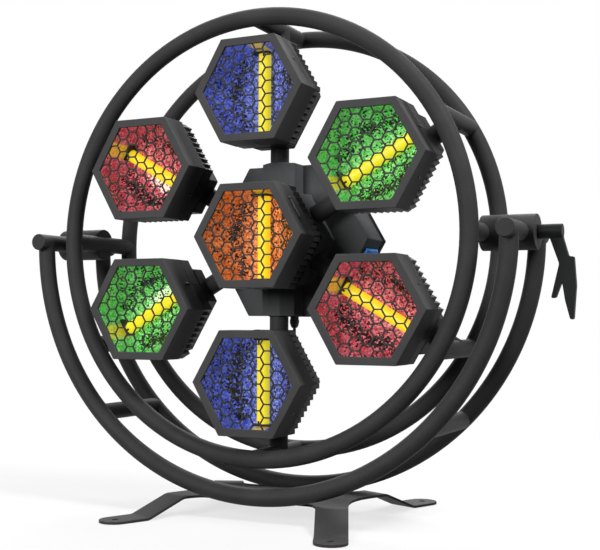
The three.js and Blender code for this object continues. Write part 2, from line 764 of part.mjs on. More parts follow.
upper.add(named('control_box', controlBoxGeometry(), 'housing'));
upper.add(named('control_box_cover', coverGeometry(), 'housing'));
upper.add(named('driver_board', driverBoardGeometry(), 'board'));
for (const [word, side] of [['left', -1], ['right', 1]]) {
  const button = named(`${word}_menu_button`, buttonGeometry(), 'button');
  button.position.set(side * buttonSpacing / 2, 0, -buttonDrop);
  upper.add(button);
}
const inletFace = radialGroup(headAngles[headNames.indexOf('lower_right')]);
inletFace.add(named('power_inlet', powerInletGeometry(), 'inlet'));
upper.add(inletFace);
upper.add(named('head_cable', headCableGeometry(), 'rubber'));

export default light;
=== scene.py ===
from math import atan2, cos, degrees, pi, radians, sin, sqrt
from random import Random

import bmesh
import bpy
from mathutils import Matrix, Vector


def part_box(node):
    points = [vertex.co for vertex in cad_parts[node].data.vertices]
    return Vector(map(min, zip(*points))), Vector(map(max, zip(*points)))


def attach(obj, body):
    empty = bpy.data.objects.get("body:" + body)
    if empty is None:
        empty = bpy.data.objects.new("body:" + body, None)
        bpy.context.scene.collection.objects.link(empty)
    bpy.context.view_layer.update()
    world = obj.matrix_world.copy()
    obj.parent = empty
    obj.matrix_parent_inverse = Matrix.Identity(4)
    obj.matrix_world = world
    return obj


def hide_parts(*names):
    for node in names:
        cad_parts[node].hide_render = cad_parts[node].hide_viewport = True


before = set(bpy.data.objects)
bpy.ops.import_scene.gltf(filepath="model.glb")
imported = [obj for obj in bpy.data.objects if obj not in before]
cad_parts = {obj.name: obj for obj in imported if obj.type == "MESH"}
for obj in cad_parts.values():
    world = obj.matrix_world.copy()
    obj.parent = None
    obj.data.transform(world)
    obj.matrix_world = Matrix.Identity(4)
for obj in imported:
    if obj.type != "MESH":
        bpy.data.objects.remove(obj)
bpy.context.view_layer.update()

# The stage light's frame is black powder-coated steel tube, the heads are coated aluminium cups
# with a honeycomb sheet in front of a hammered colour reflector and one yellow lamp tube.
# Shapes are drawn in millimetres round the tilt axis and brought to metres when a piece is finished.

MM = 0.001


# Sizes read from the frame, in millimetres

def node_box(name):
    low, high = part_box(name)
    return low / MM, high / MM


RING_LOW, RING_HIGH = node_box("front_ring")
AXIS_HEIGHT = (RING_LOW.z + RING_HIGH.z) / 2
TUBE = (RING_HIGH.y - RING_LOW.y) / 2
RING_RADIUS = RING_HIGH.x - TUBE
RING_DEPTH = -(RING_HIGH.y + RING_LOW.y) / 2
CRADLE_LOW = node_box("cradle_front_half_ring")[0]
CRADLE_RADIUS = AXIS_HEIGHT - CRADLE_LOW.z - TUBE
PLATE_LOW = node_box("base_plate")[0]
HOUSING_LOW, HOUSING_HIGH = node_box("top_housing")
HEAD_FLATS = HOUSING_HIGH.z - HOUSING_LOW.z
HEAD_FRONT = HOUSING_LOW.y
SLEEVE_BACK = HOUSING_HIGH.y
BOX_LOW, BOX_HIGH = node_box("control_box")
COVER_LOW, COVER_HIGH = node_box("control_box_cover")
PIVOT_HIGH = node_box("right_cradle_pivot")[1]
RING_PIVOT_LOW, RING_PIVOT_HIGH = node_box("right_ring_pivot")
HANDLE_HIGH = node_box("clamp_handle")[1]

HEADS = ["top", "upper_right", "lower_right", "bottom", "lower_left", "upper_left", "centre"]
ARMS = HEADS[:6]
COLOURS = dict(top="blue", upper_right="green", lower_right="red", bottom="blue",
               lower_left="green", upper_left="red", centre="orange")

# Places: the ring frame has its origin on the tilt axis, the floor frame under the base plate
ROUND_AXIS = Matrix.Translation((0, 0, AXIS_HEIGHT * MM)) @ Matrix.Scale(MM, 4)
ON_PLATE = Matrix.Scale(MM, 4)


def head_centre(head):
    low, high = node_box(head + "_housing")
    middle = (low + high) / 2
    return Vector((middle.x, 0, middle.z - AXIS_HEIGHT))


def head_angle(head):
    centre = head_centre(head)
    if centre.length < TUBE:
        return pi / 2
    return atan2(centre.z, centre.x)


def outward(angle):
    return Vector((cos(angle), 0, sin(angle)))


def across(angle):
    return Vector((-sin(angle), 0, cos(angle)))


def at(radius, angle, depth):
    return outward(angle) * radius + Vector((0, depth, 0))


def along_arm(angle, origin=Vector((0, 0, 0))):
    """Frame of a head or an arm: Z runs outwards, X lies across it, Y stays the depth."""
    turn = Matrix((-across(angle), (0, 1, 0), outward(angle))).transposed().to_4x4()
    return ROUND_AXIS @ Matrix.Translation(origin) @ turn


# Mesh tools

def fold(edge):
    """How far two faces fold at their common edge, in degrees; a free edge has no fold."""
    return degrees(edge.calc_face_angle(0)) if len(edge.link_faces) == 2 else 0


def soften(bm, width, segments=2, sharper_than=35):
    """Rounds every edge that is sharper than the given angle."""
    edges = [edge for edge in bm.edges if fold(edge) > sharper_than]
    bmesh.ops.bevel(bm, geom=edges, offset=width, segments=segments, profile=0.5,
                    affect="EDGES", material=-1, clamp_overlap=True)
    return bm


def block(size, middle, rounding=0.0, segments=2):
    bm = bmesh.new()
    bmesh.ops.create_cube(bm, size=1, matrix=Matrix.Translation(middle) @ Matrix.Diagonal((*size, 1)))
    if rounding:
        soften(bm, rounding, segments)
    return bm


def turned(profile, steps=48, closed=False, rounding=0.0, segments=2):
    """Spins a profile of (radius, depth) round the Y axis; six steps give a hexagon."""
    bm = bmesh.new()
    chain = [bm.verts.new((radius, depth, 0)) for radius, depth in profile]
    ends = zip(chain, chain[1:] + chain[:1] if closed else chain[1:])
    edges = [bm.edges.new(pair) for pair in ends]
    bmesh.ops.spin(bm, geom=chain + edges, cent=(0, 0, 0), axis=(0, 1, 0), dvec=(0, 0, 0),
                   angle=2 * pi, steps=steps, use_merge=True)
    bmesh.ops.remove_doubles(bm, verts=bm.verts[:], dist=0.001)
    bmesh.ops.recalc_face_normals(bm, faces=bm.faces[:])
    if rounding:
        soften(bm, rounding, segments)
    return bm


def hexagonal(profile, rounding=0.0, segments=2, closed=True):
    """A hexagonal ring or plate from a profile of (width across flats, depth)."""
    return turned([(flats / sqrt(3), depth) for flats, depth in profile], 6, closed, rounding, segments)


TUBE_SIDES = 32


def bent_tube(radius, depth, start, end, steps):
    """A tube bent to an arc round the tilt axis; angles are in degrees from +X towards +Z."""
    bm = bmesh.new()
    full = abs(end - start) >= 360
    stand = Matrix.Rotation(-radians(start), 4, "Y") @ Matrix.Translation((radius, depth, 0))
    bmesh.ops.create_circle(bm, cap_ends=not full, segments=TUBE_SIDES, radius=TUBE, matrix=stand)
    bmesh.ops.spin(bm, geom=bm.verts[:] + bm.edges[:] + bm.faces[:], cent=(0, 0, 0), axis=(0, -1, 0),
                   dvec=(0, 0, 0), angle=radians(end - start), steps=steps, use_merge=full)
    bmesh.ops.remove_doubles(bm, verts=bm.verts[:], dist=0.001)
    bmesh.ops.recalc_face_normals(bm, faces=bm.faces[:])
    return bm


def straight_tube(start, end, radius=TUBE, sides=TUBE_SIDES, rounding=0.0):
    start, end = Vector(start), Vector(end)
    way = end - start
    stand = Matrix.Translation((start + end) / 2) @ way.to_track_quat("Z", "Y").to_matrix().to_4x4()
    bm = bmesh.new()
    bmesh.ops.create_cone(bm, cap_ends=True, segments=sides, radius1=radius, radius2=radius,
                          depth=way.length, matrix=stand)
    if rounding:
        soften(bm, rounding)
    return bm


def prism(corners, way):
    """Pushes a flat outline along a vector to make a closed block."""
    bm = bmesh.new()
    face = bm.faces.new([bm.verts.new(corner) for corner in corners])
    made = bmesh.ops.extrude_face_region(bm, geom=[face])
    far = [part for part in made["geom"] if isinstance(part, bmesh.types.BMVert)]
    bmesh.ops.translate(bm, verts=far, vec=way)
    bmesh.ops.recalc_face_normals(bm, faces=bm.faces[:])
    return bm


def moved(bm, matrix):
    bmesh.ops.transform(bm, matrix=matrix, verts=bm.verts[:])
    if matrix.determinant() < 0:
        bmesh.ops.reverse_faces(bm, faces=bm.faces[:])
    return bm


def standing(bm, place):
    """Turns a shape that was spun round the depth axis so that its depth points outwards along Z."""
    return moved(bm, Matrix.Translation(place) @ Matrix.Rotation(pi / 2, 4, "X"))


SCREW_RADIUS = 2.4
SCREW_HEIGHT = 1.1
SCREW_SEAT = 0.6
SCREW_SIDES = 18


def screw(place):
    """A small pan head with a round socket, seated a little in its sheet; it points along Y."""
    socket = SCREW_RADIUS * 0.45
    socket_floor = SCREW_HEIGHT - 0.8
    head = turned([(SCREW_RADIUS, -SCREW_SEAT), (SCREW_RADIUS, SCREW_HEIGHT - 0.4),
                   (SCREW_RADIUS - 0.5, SCREW_HEIGHT), (socket, SCREW_HEIGHT), (socket, socket_floor),
                   (0, socket_floor)], SCREW_SIDES)
    return moved(head, place)


def joined(parts):
    whole = bmesh.new()
    for part in parts:
        mesh = bpy.data.meshes.new("part")
        part.to_mesh(mesh)
        part.free()
        whole.from_mesh(mesh)
        bpy.data.meshes.remove(mesh)
    return whole


def finish(piece, body, material, nodes=()):
    piece.data.materials.append(material)
    bpy.context.scene.collection.objects.link(piece)
    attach(piece, body)
    if nodes:
        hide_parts(*nodes)


def make_piece(name, bm, place, body, material, nodes=(), smooth_below=40):
    """Brings a shape in millimetres to its place and keeps its own millimetres as an attribute."""
    mesh = bpy.data.meshes.new(name)
    bm.to_mesh(mesh)
    bm.free()
    own = mesh.attributes.new("own_place", "FLOAT_VECTOR", "POINT")
    own.data.foreach_set("vector", [value * MM for vertex in mesh.vertices for value in vertex.co])
    mesh.transform(place)
    mesh.shade_smooth()
    mesh.set_sharp_from_angle(angle=radians(smooth_below))
    piece = bpy.data.objects.new(name, mesh)
    normals = piece.modifiers.new("even_normals", "WEIGHTED_NORMAL")
    normals.keep_sharp = True
    finish(piece, body, material, nodes)


RIPPLE_TURN = 0.8 * pi


def make_wire(name, runs, radius, place, body, material, closed=True, ripple=0.0, taper_to=1.0):
    """One round bead or cable along each run of points; a weld thins out where two tubes touch."""
    curve = bpy.data.curves.new(name, "CURVE")
    curve.dimensions = "3D"
    curve.bevel_depth = radius * MM
    curve.bevel_resolution = 3
    curve.use_fill_caps = True
    for run in runs:
        spline = curve.splines.new("POLY")
        spline.points.add(len(run) - 1)
        spline.use_cyclic_u = closed
        spline.use_smooth = True
        for number, (point, spot) in enumerate(zip(spline.points, run)):
            point.co = (*(place @ Vector(spot)), 1)
            taper = taper_to + (1 - taper_to) * abs(sin(2 * pi * number / len(run)))
            point.radius = taper * (1 + ripple * cos(number * RIPPLE_TURN))
    finish(bpy.data.objects.new(name, curve), body, material)


# Material tools

def linear(code):
    """Turns an sRGB hex colour to the linear colour that a shader takes."""
    shares = [int(code[place:place + 2], 16) / 255 for place in (1, 3, 5)]
    bright = [share / 12.92 if share <= 0.04045 else ((share + 0.055) / 1.055) ** 2.4 for share in shares]
    return (*bright, 1)


def add(tree, kind, inputs=None, **settings):
    """Adds one node; an input is a value or the socket that it is linked from."""
    made = tree.nodes.new(kind)
    for name, value in settings.items():
        setattr(made, name, value)
    for name, value in (inputs or {}).items():
        if isinstance(value, bpy.types.NodeSocket):
            tree.links.new(value, made.inputs[name])
        else:
            made.inputs[name].default_value = value
    return made


def start_material(name):
    made = bpy.data.materials.new(name)
    made.use_nodes = True
    tree = made.node_tree
    tree.nodes.clear()
    return made, tree


def show(tree, shader):
    add(tree, "ShaderNodeOutputMaterial", {"Surface": shader.outputs[0]})


def per_metre(size_mm):
    """Texture scale that gives features of a real size in millimetres."""
    return 1 / (size_mm * MM)


CLOUD_MM = 60


def textured_coat(name, dark, light, grain_mm, roughness, bump_mm, specular):
    """A sprayed or stoved coat: two close tones in soft clouds, with a fine grain."""
    made, tree = start_material(name)
    place = add(tree, "ShaderNodeTexCoord").outputs["Object"]
    clouds = add(tree, "ShaderNodeTexNoise", {"Vector": place, "Scale": per_metre(CLOUD_MM), "Detail": 4.0})
    grain = add(tree, "ShaderNodeTexNoise", {"Vector": place, "Scale": per_metre(grain_mm), "Detail": 2.0})
    blend = add(tree, "ShaderNodeMath", {0: clouds.outputs["Fac"], 1: grain.outputs["Fac"]},
                operation="MULTIPLY")
    tone = add(tree, "ShaderNodeValToRGB", {"Fac": blend.outputs[0]})
    tone.color_ramp.elements[0].position = 0.1
    tone.color_ramp.elements[0].color = linear(dark)
    tone.color_ramp.elements[1].position = 0.45
    tone.color_ramp.elements[1].color = linear(light)
    sheen = add(tree, "ShaderNodeMapRange", {"Value": grain.outputs["Fac"], "To Min": roughness - 0.08,
                                             "To Max": roughness + 0.08})
    bump = add(tree, "ShaderNodeBump", {"Height": grain.outputs["Fac"], "Strength": 0.35,
                                        "Distance": bump_mm * MM})
    shader = add(tree, "ShaderNodeBsdfPrincipled",
                 {"Base Color": tone.outputs["Color"], "Roughness": sheen.outputs["Result"],
                  "Normal": bump.outputs["Normal"], "Specular IOR Level": specular, "IOR": 1.5})
    show(tree, shader)
    return made


# Powder coat on steel tube: matte near-black with a faint orange-peel grain
steel_powder_coat = textured_coat("powder_coated_steel_tube", "#363636", "#444444", 1.6, 0.6, 0.12, 0.1)
# The cast lever has the same coat a shade darker
lever_powder_coat = textured_coat("powder_coated_cast_lever", "#191a1b", "#222324", 1.3, 0.5, 0.08, 0.08)
# Powder coat on aluminium sheet: a shade lighter and finer than on the tube
sheet_powder_coat = textured_coat("powder_coated_aluminium_sheet", "#454546", "#525253", 1.1, 0.6, 0.08, 0.08)
# The same coat on the control box: a shade lighter and duller
box_powder_coat = textured_coat("powder_coated_control_box", "#4d4e4f", "#5b5c5d", 1.1, 0.7, 0.08, 0.06)
# Black anodised aluminium fins: darker, a little silky
black_anodised = textured_coat("black_anodised_aluminium", "#131313", "#1d1d1d", 0.9, 0.5, 0.03, 0.15)
# Satin coat on the punched honeycomb sheet: a dark grey that reads as a thin line before the colours
honeycomb_coat = textured_coat("satin_coated_punched_sheet", "#323532", "#424541", 1.2, 0.5, 0.04, 0.1)
# Rubber sheath: dull and even
rubber_sheath = textured_coat("moulded_rubber_sheath", "#121213", "#1b1b1c", 1.4, 0.7, 0.05, 0.15)
# Moulded nylon of the holders, gland and buttons: dark with a slight shine
black_nylon = textured_coat("moulded_black_nylon", "#0f0f10", "#19191a", 0.8, 0.42, 0.03, 0.3)
# Moulded blue nylon of the power inlet: one even bright blue with a soft shine
blue_nylon = textured_coat("moulded_blue_nylon", "#3c9cff", "#58b0ff", 0.8, 0.45, 0.03, 0.1)
# Solder mask on the driver board: a smooth dark green gloss
solder_mask = textured_coat("green_solder_mask", "#0c3a22", "#14532f", 1.5, 0.35, 0.02, 0.5)
# Black zinc on the small screws: a little brighter than the coat around them
black_zinc = textured_coat("black_zinc_plated_steel", "#161617", "#222223", 0.6, 0.35, 0.02, 0.5)


FACET_MM = 2.7
FLECK_CLOUD_MM = 13
# Painted dark reflection: the colour of facets that mirror the head's dark mouth
PAINTED_DARK_REFLECTION = "#0b090c"
# Painted reflection of the yellow lamp on the reflector's end walls
PAINTED_LAMP_REFLECTION = "#fad82c"
# Share of white in the painted glare highlight
PAINTED_GLARE_WHITE = 0.6


def hammered_reflector(name, deep, main, pale):
    """Anodised aluminium hammered in small facets: a bright tinted surface broken by painted dark flecks.

    The flecks are painted reflections of the dark mouth, crowded in a bent band beside the lamp, and
    the tone is painted palest next to the lamp as painted lamp light. The end walls carry a painted
    reflection of the lamp's yellow image, and the two left heads a painted near-white glare. A faint
    glow of its own colour is painted light that stands for the light thrown round in the cup."""
    made, tree = start_material(name)
    place = add(tree, "ShaderNodeAttribute", attribute_name="own_place").outputs["Vector"]
    own = add(tree, "ShaderNodeSeparateXYZ", {"Vector": place}).outputs
    stood = add(tree, "ShaderNodeTexCoord").outputs["Object"]
    stood_at = add(tree, "ShaderNodeSeparateXYZ", {"Vector": stood}).outputs
    facets = add(tree, "ShaderNodeTexVoronoi", {"Vector": place, "Scale": per_metre(FACET_MM),
                                                "Randomness": 1.0})
    chance = add(tree, "ShaderNodeSeparateColor", {"Color": facets.outputs["Color"]}).outputs
    cloud = add(tree, "ShaderNodeTexNoise", {"Vector": place, "Scale": per_metre(FLECK_CLOUD_MM),
                                             "Detail": 2.0})

    # Distances from the head's middle: aside of the lamp, along it, a bent mixture of both, and the
    # distance towards the tilt axis
    aside = add(tree, "ShaderNodeMath", {0: own["X"]}, operation="ABSOLUTE").outputs[0]
    along = add(tree, "ShaderNodeMath", {0: own["Z"]}, operation="ABSOLUTE").outputs[0]
    bent = add(tree, "ShaderNodeMath", {0: along, 1: 0.25, 2: aside}, operation="MULTIPLY_ADD").outputs[0]
    above = add(tree, "ShaderNodeMath", {0: stood_at["Z"], 1: AXIS_HEIGHT * MM}, operation="SUBTRACT")
    sign = add(tree, "ShaderNodeMath", {0: above.outputs[0]}, operation="SIGN")
    inner = add(tree, "ShaderNodeMath", {0: own["X"], 1: sign.outputs[0]}, operation="MULTIPLY").outputs[0]

    # Each share runs from its start to its end while a distance passes between two sizes in millimetres
    shares = {"cloud": cloud.outputs["Fac"], "green": chance["Green"]}
    for part, distance, low, high, start, end in (
            ("fleck_rise", bent, 36, 45, 0.28, 1.05),
            ("fleck_fall", bent, 54, 62, 0, 0.8),
            ("fleck_side", own["X"], -12, 12, 1, 1.3),
            ("on_trough", along, 60, 64, 1, 0),
            ("painted_lamp_light_falloff", aside, 14, 44, 0.85, 0.5),
            ("on_end_wall", along, 64, 69, 0, 1),
            ("before_lamp", aside, 9, 15, 1, 0),
            ("off_lamp", inner, 9, 11, 0, 1),
            ("glare_edge", inner, 19, 29, 1, 0),
            ("left_heads", stood_at["X"], -130, -100, 0.95, 0),
            ("glare_start", own["Z"], -25, 5, 0, 1),
            ("glare_end", along, 54, 62, 1, 0)):
        shares[part] = add(tree, "ShaderNodeMapRange",
                           {"Value": distance, "From Min": low * MM, "From Max": high * MM,
                            "To Min": start, "To Max": end}).outputs["Result"]
    shares["dark_reflection_band"] = add(tree, "ShaderNodeMath", {0: shares["fleck_rise"], 1: shares["fleck_fall"]},
                               operation="SUBTRACT").outputs[0]
    shares["patchy"] = add(tree, "ShaderNodeMath", {0: chance["Blue"], 1: 0.8, 2: 0.35},
                           operation="MULTIPLY_ADD").outputs[0]

    # Shares that are multiplied together give each effect its place
    # Each effect is painted light: dark flecks are painted reflections of the dark mouth, the pale tone is
    # painted lamp light, the yellow is a painted reflection of the lamp and the near-white is a painted glare
    for effect, factors in (
            ("flecks", ("dark_reflection_band", "cloud", "fleck_side", "on_trough")),
            ("light", ("green", "green", "painted_lamp_light_falloff")),
            ("painted_lamp_reflection", ("on_end_wall", "before_lamp", "patchy")),
            ("glare", ("off_lamp", "glare_edge", "left_heads", "glare_start", "glare_end"))):
        shares[effect] = shares[factors[0]]
        for factor in factors[1:]:
            shares[effect] = add(tree, "ShaderNodeMath", {0: shares[effect], 1: shares[factor]},
                                 operation="MULTIPLY").outputs[0]
    # Painted highlight: facets in the glare area of the left heads turn near-white
    painted_glare_spots = add(tree, "ShaderNodeMath", {0: chance["Green"], 1: shares["glare"]}, operation="LESS_THAN")
    # Painted dark reflections: facets in the band take the dark fleck colour
    painted_dark_flecks = add(tree, "ShaderNodeMath", {0: chance["Red"], 1: shares["flecks"]}, operation="LESS_THAN")

    painted_glare_colour = [PAINTED_GLARE_WHITE + (1 - PAINTED_GLARE_WHITE) * part for part in linear(pale)]
    # Layers over the deep tone: the main tone at random, then the painted lamp light (pale), the painted lamp
    # reflection, the painted glare and the painted dark reflections
    colour = linear(deep)
    for share, layer in ((chance["Blue"], linear(main)), (shares["light"], linear(pale)),
                         (shares["painted_lamp_reflection"], linear(PAINTED_LAMP_REFLECTION)), (painted_glare_spots.outputs[0], painted_glare_colour),
                         (painted_dark_flecks.outputs[0], linear(PAINTED_DARK_REFLECTION))):
        # The Mix node's colour sockets are its inputs 6 and 7 and its output 2
        colour = add(tree, "ShaderNodeMix", {0: share, 6: colour, 7: layer}, data_type="RGBA").outputs[2]
    dents = add(tree, "ShaderNodeBump", {"Height": facets.outputs["Distance"], "Strength": 0.5,
                                         "Distance": 0.8 * MM})
    # The emission is painted light: a glow of the reflector's own colour that stands for the light thrown
    # round in the cup
    shader = add(tree, "ShaderNodeBsdfPrincipled",
                 {"Base Color": colour, "Roughness": 0.32, "Specular IOR Level": 0.35,
                  "Emission Color": colour, "Emission Strength": 0.38, "Normal": dents.outputs["Normal"]})
    show(tree, shader)
    return made


# Each reflector's deep and main tones are its anodised colour; its pale tone is painted lamp light and
# painted glare
REFLECTORS = {
    "blue": hammered_reflector("blue_anodised_hammered_reflector", "#2a3692", "#485ac8", "#98a6f2"),
    "green": hammered_reflector("green_anodised_hammered_reflector", "#27922f", "#56ca5a", "#bcf2b4"),
    "red": hammered_reflector("red_anodised_hammered_reflector", "#8a2034", "#c83e54", "#f0aab4"),
    "orange": hammered_reflector("orange_anodised_hammered_reflector", "#9c3e10", "#d86c28", "#f8bc84"),
}


def phosphor_tube():
    """Yellow phosphor in a clear tube: an even bright yellow with an orange line along its core."""
    made, tree = start_material("yellow_phosphor_lamp_tube")
    place = add(tree, "ShaderNodeAttribute", attribute_name="own_place").outputs["Vector"]
    parts = add(tree, "ShaderNodeSeparateXYZ", {"Vector": place})
    cloud = add(tree, "ShaderNodeTexNoise", {"Vector": place, "Scale": per_metre(14), "Detail": 3.0})
    aside = add(tree, "ShaderNodeMath", {0: parts.outputs["X"]}, operation="ABSOLUTE")
    share = add(tree, "ShaderNodeMapRange", {"Value": aside.outputs[0], "From Max": 8 * MM})
    core = add(tree, "ShaderNodeMath", {0: cloud.outputs["Fac"], 1: 0.35, 2: share.outputs["Result"]},
               operation="MULTIPLY_ADD")
    colour = add(tree, "ShaderNodeValToRGB", {"Fac": core.outputs[0]})
    ramp = colour.color_ramp
    ramp.elements[0].position = 0.1
    ramp.elements[0].color = linear("#f2c022")
    ramp.elements[1].position = 0.4
    ramp.elements[1].color = linear("#f6e22a")
    shader = add(tree, "ShaderNodeBsdfPrincipled",
                 {"Base Color": colour.outputs["Color"], "Roughness": 0.35,
                  "Emission Color": colour.outputs["Color"], "Emission Strength": 0.6})
    show(tree, shader)
    return made


lamp_phosphor = phosphor_tube()


def window_glass():
    """Smoked acrylic over the small display: black and glossy with a faint haze."""
    made, tree = start_material("smoked_acrylic_window")
    place = add(tree, "ShaderNodeTexCoord").outputs["Object"]
    haze = add(tree, "ShaderNodeTexNoise", {"Vector": place, "Scale": per_metre(9), "Detail": 3.0})
    gloss = add(tree, "ShaderNodeMapRange", {"Value": haze.outputs["Fac"], "To Min": 0.05, "To Max": 0.16})
    shader = add(tree, "ShaderNodeBsdfPrincipled",
                 {"Base Color": linear("#0b0c10"), "Roughness": gloss.outputs["Result"], "IOR": 1.49})
    show(tree, shader)
    return made


smoked_acrylic = window_glass()


# Frame tubes

WELD = 1.8
WELD_RIPPLE = 0.16
WELD_TAPER = 0.2
WELD_SUNK = 0.6
WELD_POINTS = 72
SPOKE_RADIUS = 15.5
SPOKE_DEPTH = 7.0
SPOKE_START = 60.0
RING_STEPS = 180
HALF_RING_STEPS = 110


def saddle(centre, branch, bar, radius=TUBE):
    """The closed curve where a tube along branch meets an equal tube along bar."""
    radius -= WELD_SUNK
    branch, bar = Vector(branch).normalized(), Vector(bar).normalized()
    side = branch.cross(bar)
    run = []
    for number in range(WELD_POINTS):
        angle = 2 * pi * number / WELD_POINTS
        rise = radius * abs(sin(angle))
        run.append(Vector(centre) + side * radius * cos(angle) + bar * radius * sin(angle)
                   + branch * rise)
    return run


def make_head_frame():
    for name, depth in (("front", -RING_DEPTH), ("rear", RING_DEPTH)):
        ring = bent_tube(RING_RADIUS, depth, 0, 360, RING_STEPS)
        make_piece(name + "_ring_tube", ring, ROUND_AXIS, "head_frame",
                   steel_powder_coat, [name + "_ring"])
    beads = []
    for arm in ARMS:
        angle = head_angle(arm)
        front, rear = at(RING_RADIUS, angle, -RING_DEPTH), at(RING_RADIUS, angle, RING_DEPTH)
        inner, outer = at(SPOKE_START, angle, SPOKE_DEPTH), at(RING_RADIUS, angle, SPOKE_DEPTH)
        spoke = joined([straight_tube(inner, outer, SPOKE_RADIUS), straight_tube(front, rear)])
        make_piece(arm + "_spoke_tube", spoke, ROUND_AXIS, "head_frame",
                   steel_powder_coat, [arm + "_spoke"])
        beads.append(saddle(at(RING_RADIUS, angle, SPOKE_DEPTH), -outward(angle), (0, 1, 0), SPOKE_RADIUS))
        for depth, inward in ((-RING_DEPTH, 1), (RING_DEPTH, -1)):
            beads.append(saddle(at(RING_RADIUS, angle, depth), (0, inward, 0), across(angle)))
    for side in (-1, 1):
        for depth, inward in ((-RING_DEPTH, 1), (RING_DEPTH, -1)):
            beads.append(saddle((side * RING_RADIUS, depth, 0), (0, inward, 0), (0, 0, 1)))
    make_wire("head_frame_weld_beads", beads, WELD, ROUND_AXIS, "head_frame",
              steel_powder_coat, ripple=WELD_RIPPLE, taper_to=WELD_TAPER)


BOSS_RADIUS = (RING_PIVOT_HIGH.z - RING_PIVOT_LOW.z) / 2
BOSS_END = RING_PIVOT_HIGH.x
BOSS_SIDES = 64
BOSS_ROUNDING = 1.6
RING_BOSS_LENGTH = 41.85
BOSS_GAP = 0.3
BAR_END_ROUNDING = 2.0
PIN_RADIUS = 8.0
PIN_LENGTH = 30.0


def boss(inner, outer, side):
    """A solid round boss along the tilt axis between two distances from the middle."""
    turn = Matrix.Rotation(-side * pi / 2, 4, "Z")
    return moved(turned([(0, inner), (BOSS_RADIUS, inner), (BOSS_RADIUS, outer), (0, outer)], BOSS_SIDES,
                        rounding=BOSS_ROUNDING, segments=3), turn)


def make_pivots():
    for side, name in ((-1, "left"), (1, "right")):
        bar = straight_tube((side * RING_RADIUS, -RING_DEPTH, 0), (side * RING_RADIUS, RING_DEPTH, 0))
        shape = joined([boss(BOSS_END - RING_BOSS_LENGTH, BOSS_END, side), bar])
        make_piece(name + "_ring_pivot_boss", shape, ROUND_AXIS, "head_frame",
                   steel_powder_coat, [name + "_ring_pivot"])
        reach = PIVOT_HIGH.y
        bar = straight_tube((side * CRADLE_RADIUS, -reach, 0), (side * CRADLE_RADIUS, reach, 0),
                            rounding=BAR_END_ROUNDING)
        parts = [boss(BOSS_END + BOSS_GAP, PIVOT_HIGH.x, side), bar]
        if name == "left":
            parts.append(straight_tube((PIN_LENGTH - BOSS_END, 0, 0), (-BOSS_END, 0, 0), PIN_RADIUS))
        make_piece(name + "_cradle_pivot_boss", joined(parts), ROUND_AXIS, "cradle",
                   steel_powder_coat, [name + "_cradle_pivot"])


def make_cradle():
    beads = []
    for name, depth in (("front", -RING_DEPTH), ("rear", RING_DEPTH)):
        half = bent_tube(CRADLE_RADIUS, depth, 180, 360, HALF_RING_STEPS)
        make_piece(f"cradle_{name}_half_ring_tube", half, ROUND_AXIS, "cradle",
                   steel_powder_coat, [f"cradle_{name}_half_ring"])
        for side in (-1, 1):
            beads.append(saddle((side * CRADLE_RADIUS, depth, 0), (0, 0, -1), (0, 1, 0)))
    for name, angle in (("left", radians(-135)), ("right", radians(-45))):
        bar = straight_tube(at(CRADLE_RADIUS, angle, -RING_DEPTH), at(CRADLE_RADIUS, angle, RING_DEPTH))
        make_piece(name + "_cradle_cross_bar_tube", bar, ROUND_AXIS, "cradle",
                   steel_powder_coat, [name + "_cradle_cross_bar"])
        for depth, inward in ((-RING_DEPTH, 1), (RING_DEPTH, -1)):
            beads.append(saddle(at(CRADLE_RADIUS, angle, depth), (0, inward, 0), across(angle)))
    make_wire("cradle_weld_beads", beads, WELD, ROUND_AXIS, "cradle",
              steel_powder_coat, ripple=WELD_RIPPLE, taper_to=WELD_TAPER)


# The base plate is bent sheet: its bends are rounded and its cut edges lightly broken

PLATE_BEND = 5.0
PLATE_BEND_LEAST = 15
PLATE_BEND_MOST = 30
PLATE_EDGE = 0.7


def copy_of(node):
    bm = bmesh.new()
    bm.from_mesh(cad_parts[node].data)
    bmesh.ops.remove_doubles(bm, verts=bm.verts[:], dist=0.00001)
    bmesh.ops.transform(bm, matrix=Matrix.Scale(1 / MM, 4), verts=bm.verts[:])
    return bm


def make_base_plate():
    plate = copy_of("base_plate")
    bmesh.ops.dissolve_limit(plate, angle_limit=radians(1.5), verts=plate.verts[:], edges=plate.edges[:])
    bends = [edge for edge in plate.edges if PLATE_BEND_LEAST < fold(edge) < PLATE_BEND_MOST
             and all(abs(face.normal.z) > 0.8 for face in edge.link_faces)]
    bmesh.ops.bevel(plate, geom=bends, offset=PLATE_BEND, segments=5, profile=0.5,
                    affect="EDGES", material=-1, clamp_overlap=True)
    soften(plate, PLATE_EDGE, 2, 60)
    make_piece("bent_base_plate", plate, ON_PLATE, "cradle", steel_powder_coat,
               ["base_plate"])


# The clamp handle: a cast lever on a steel shaft

LEVER_START = 430.3
LEVER_REACH = 55.0
LEVER_DROP = 129.0
LEVER_HALF = 5.0
LEVER_CORNER = 4.0
LEVER_EDGE = 1.4
LEVER_SHARES = [(0.27, 0.02), (0.65, 0), (0.67, 0.08), (0.81, 0.29), (0.95, 0.29), (1, 0.62), (0.93, 1),
                (0.84, 1), (0.71, 0.79), (0.63, 0.57), (0.46, 0.76), (0.34, 0.76), (0.56, 0.37),
                (0.32, 0.08)]
SHAFT_RADIUS = 11.0
SHAFT_SHORT = 19.0
STUD_LENGTH = 34.0


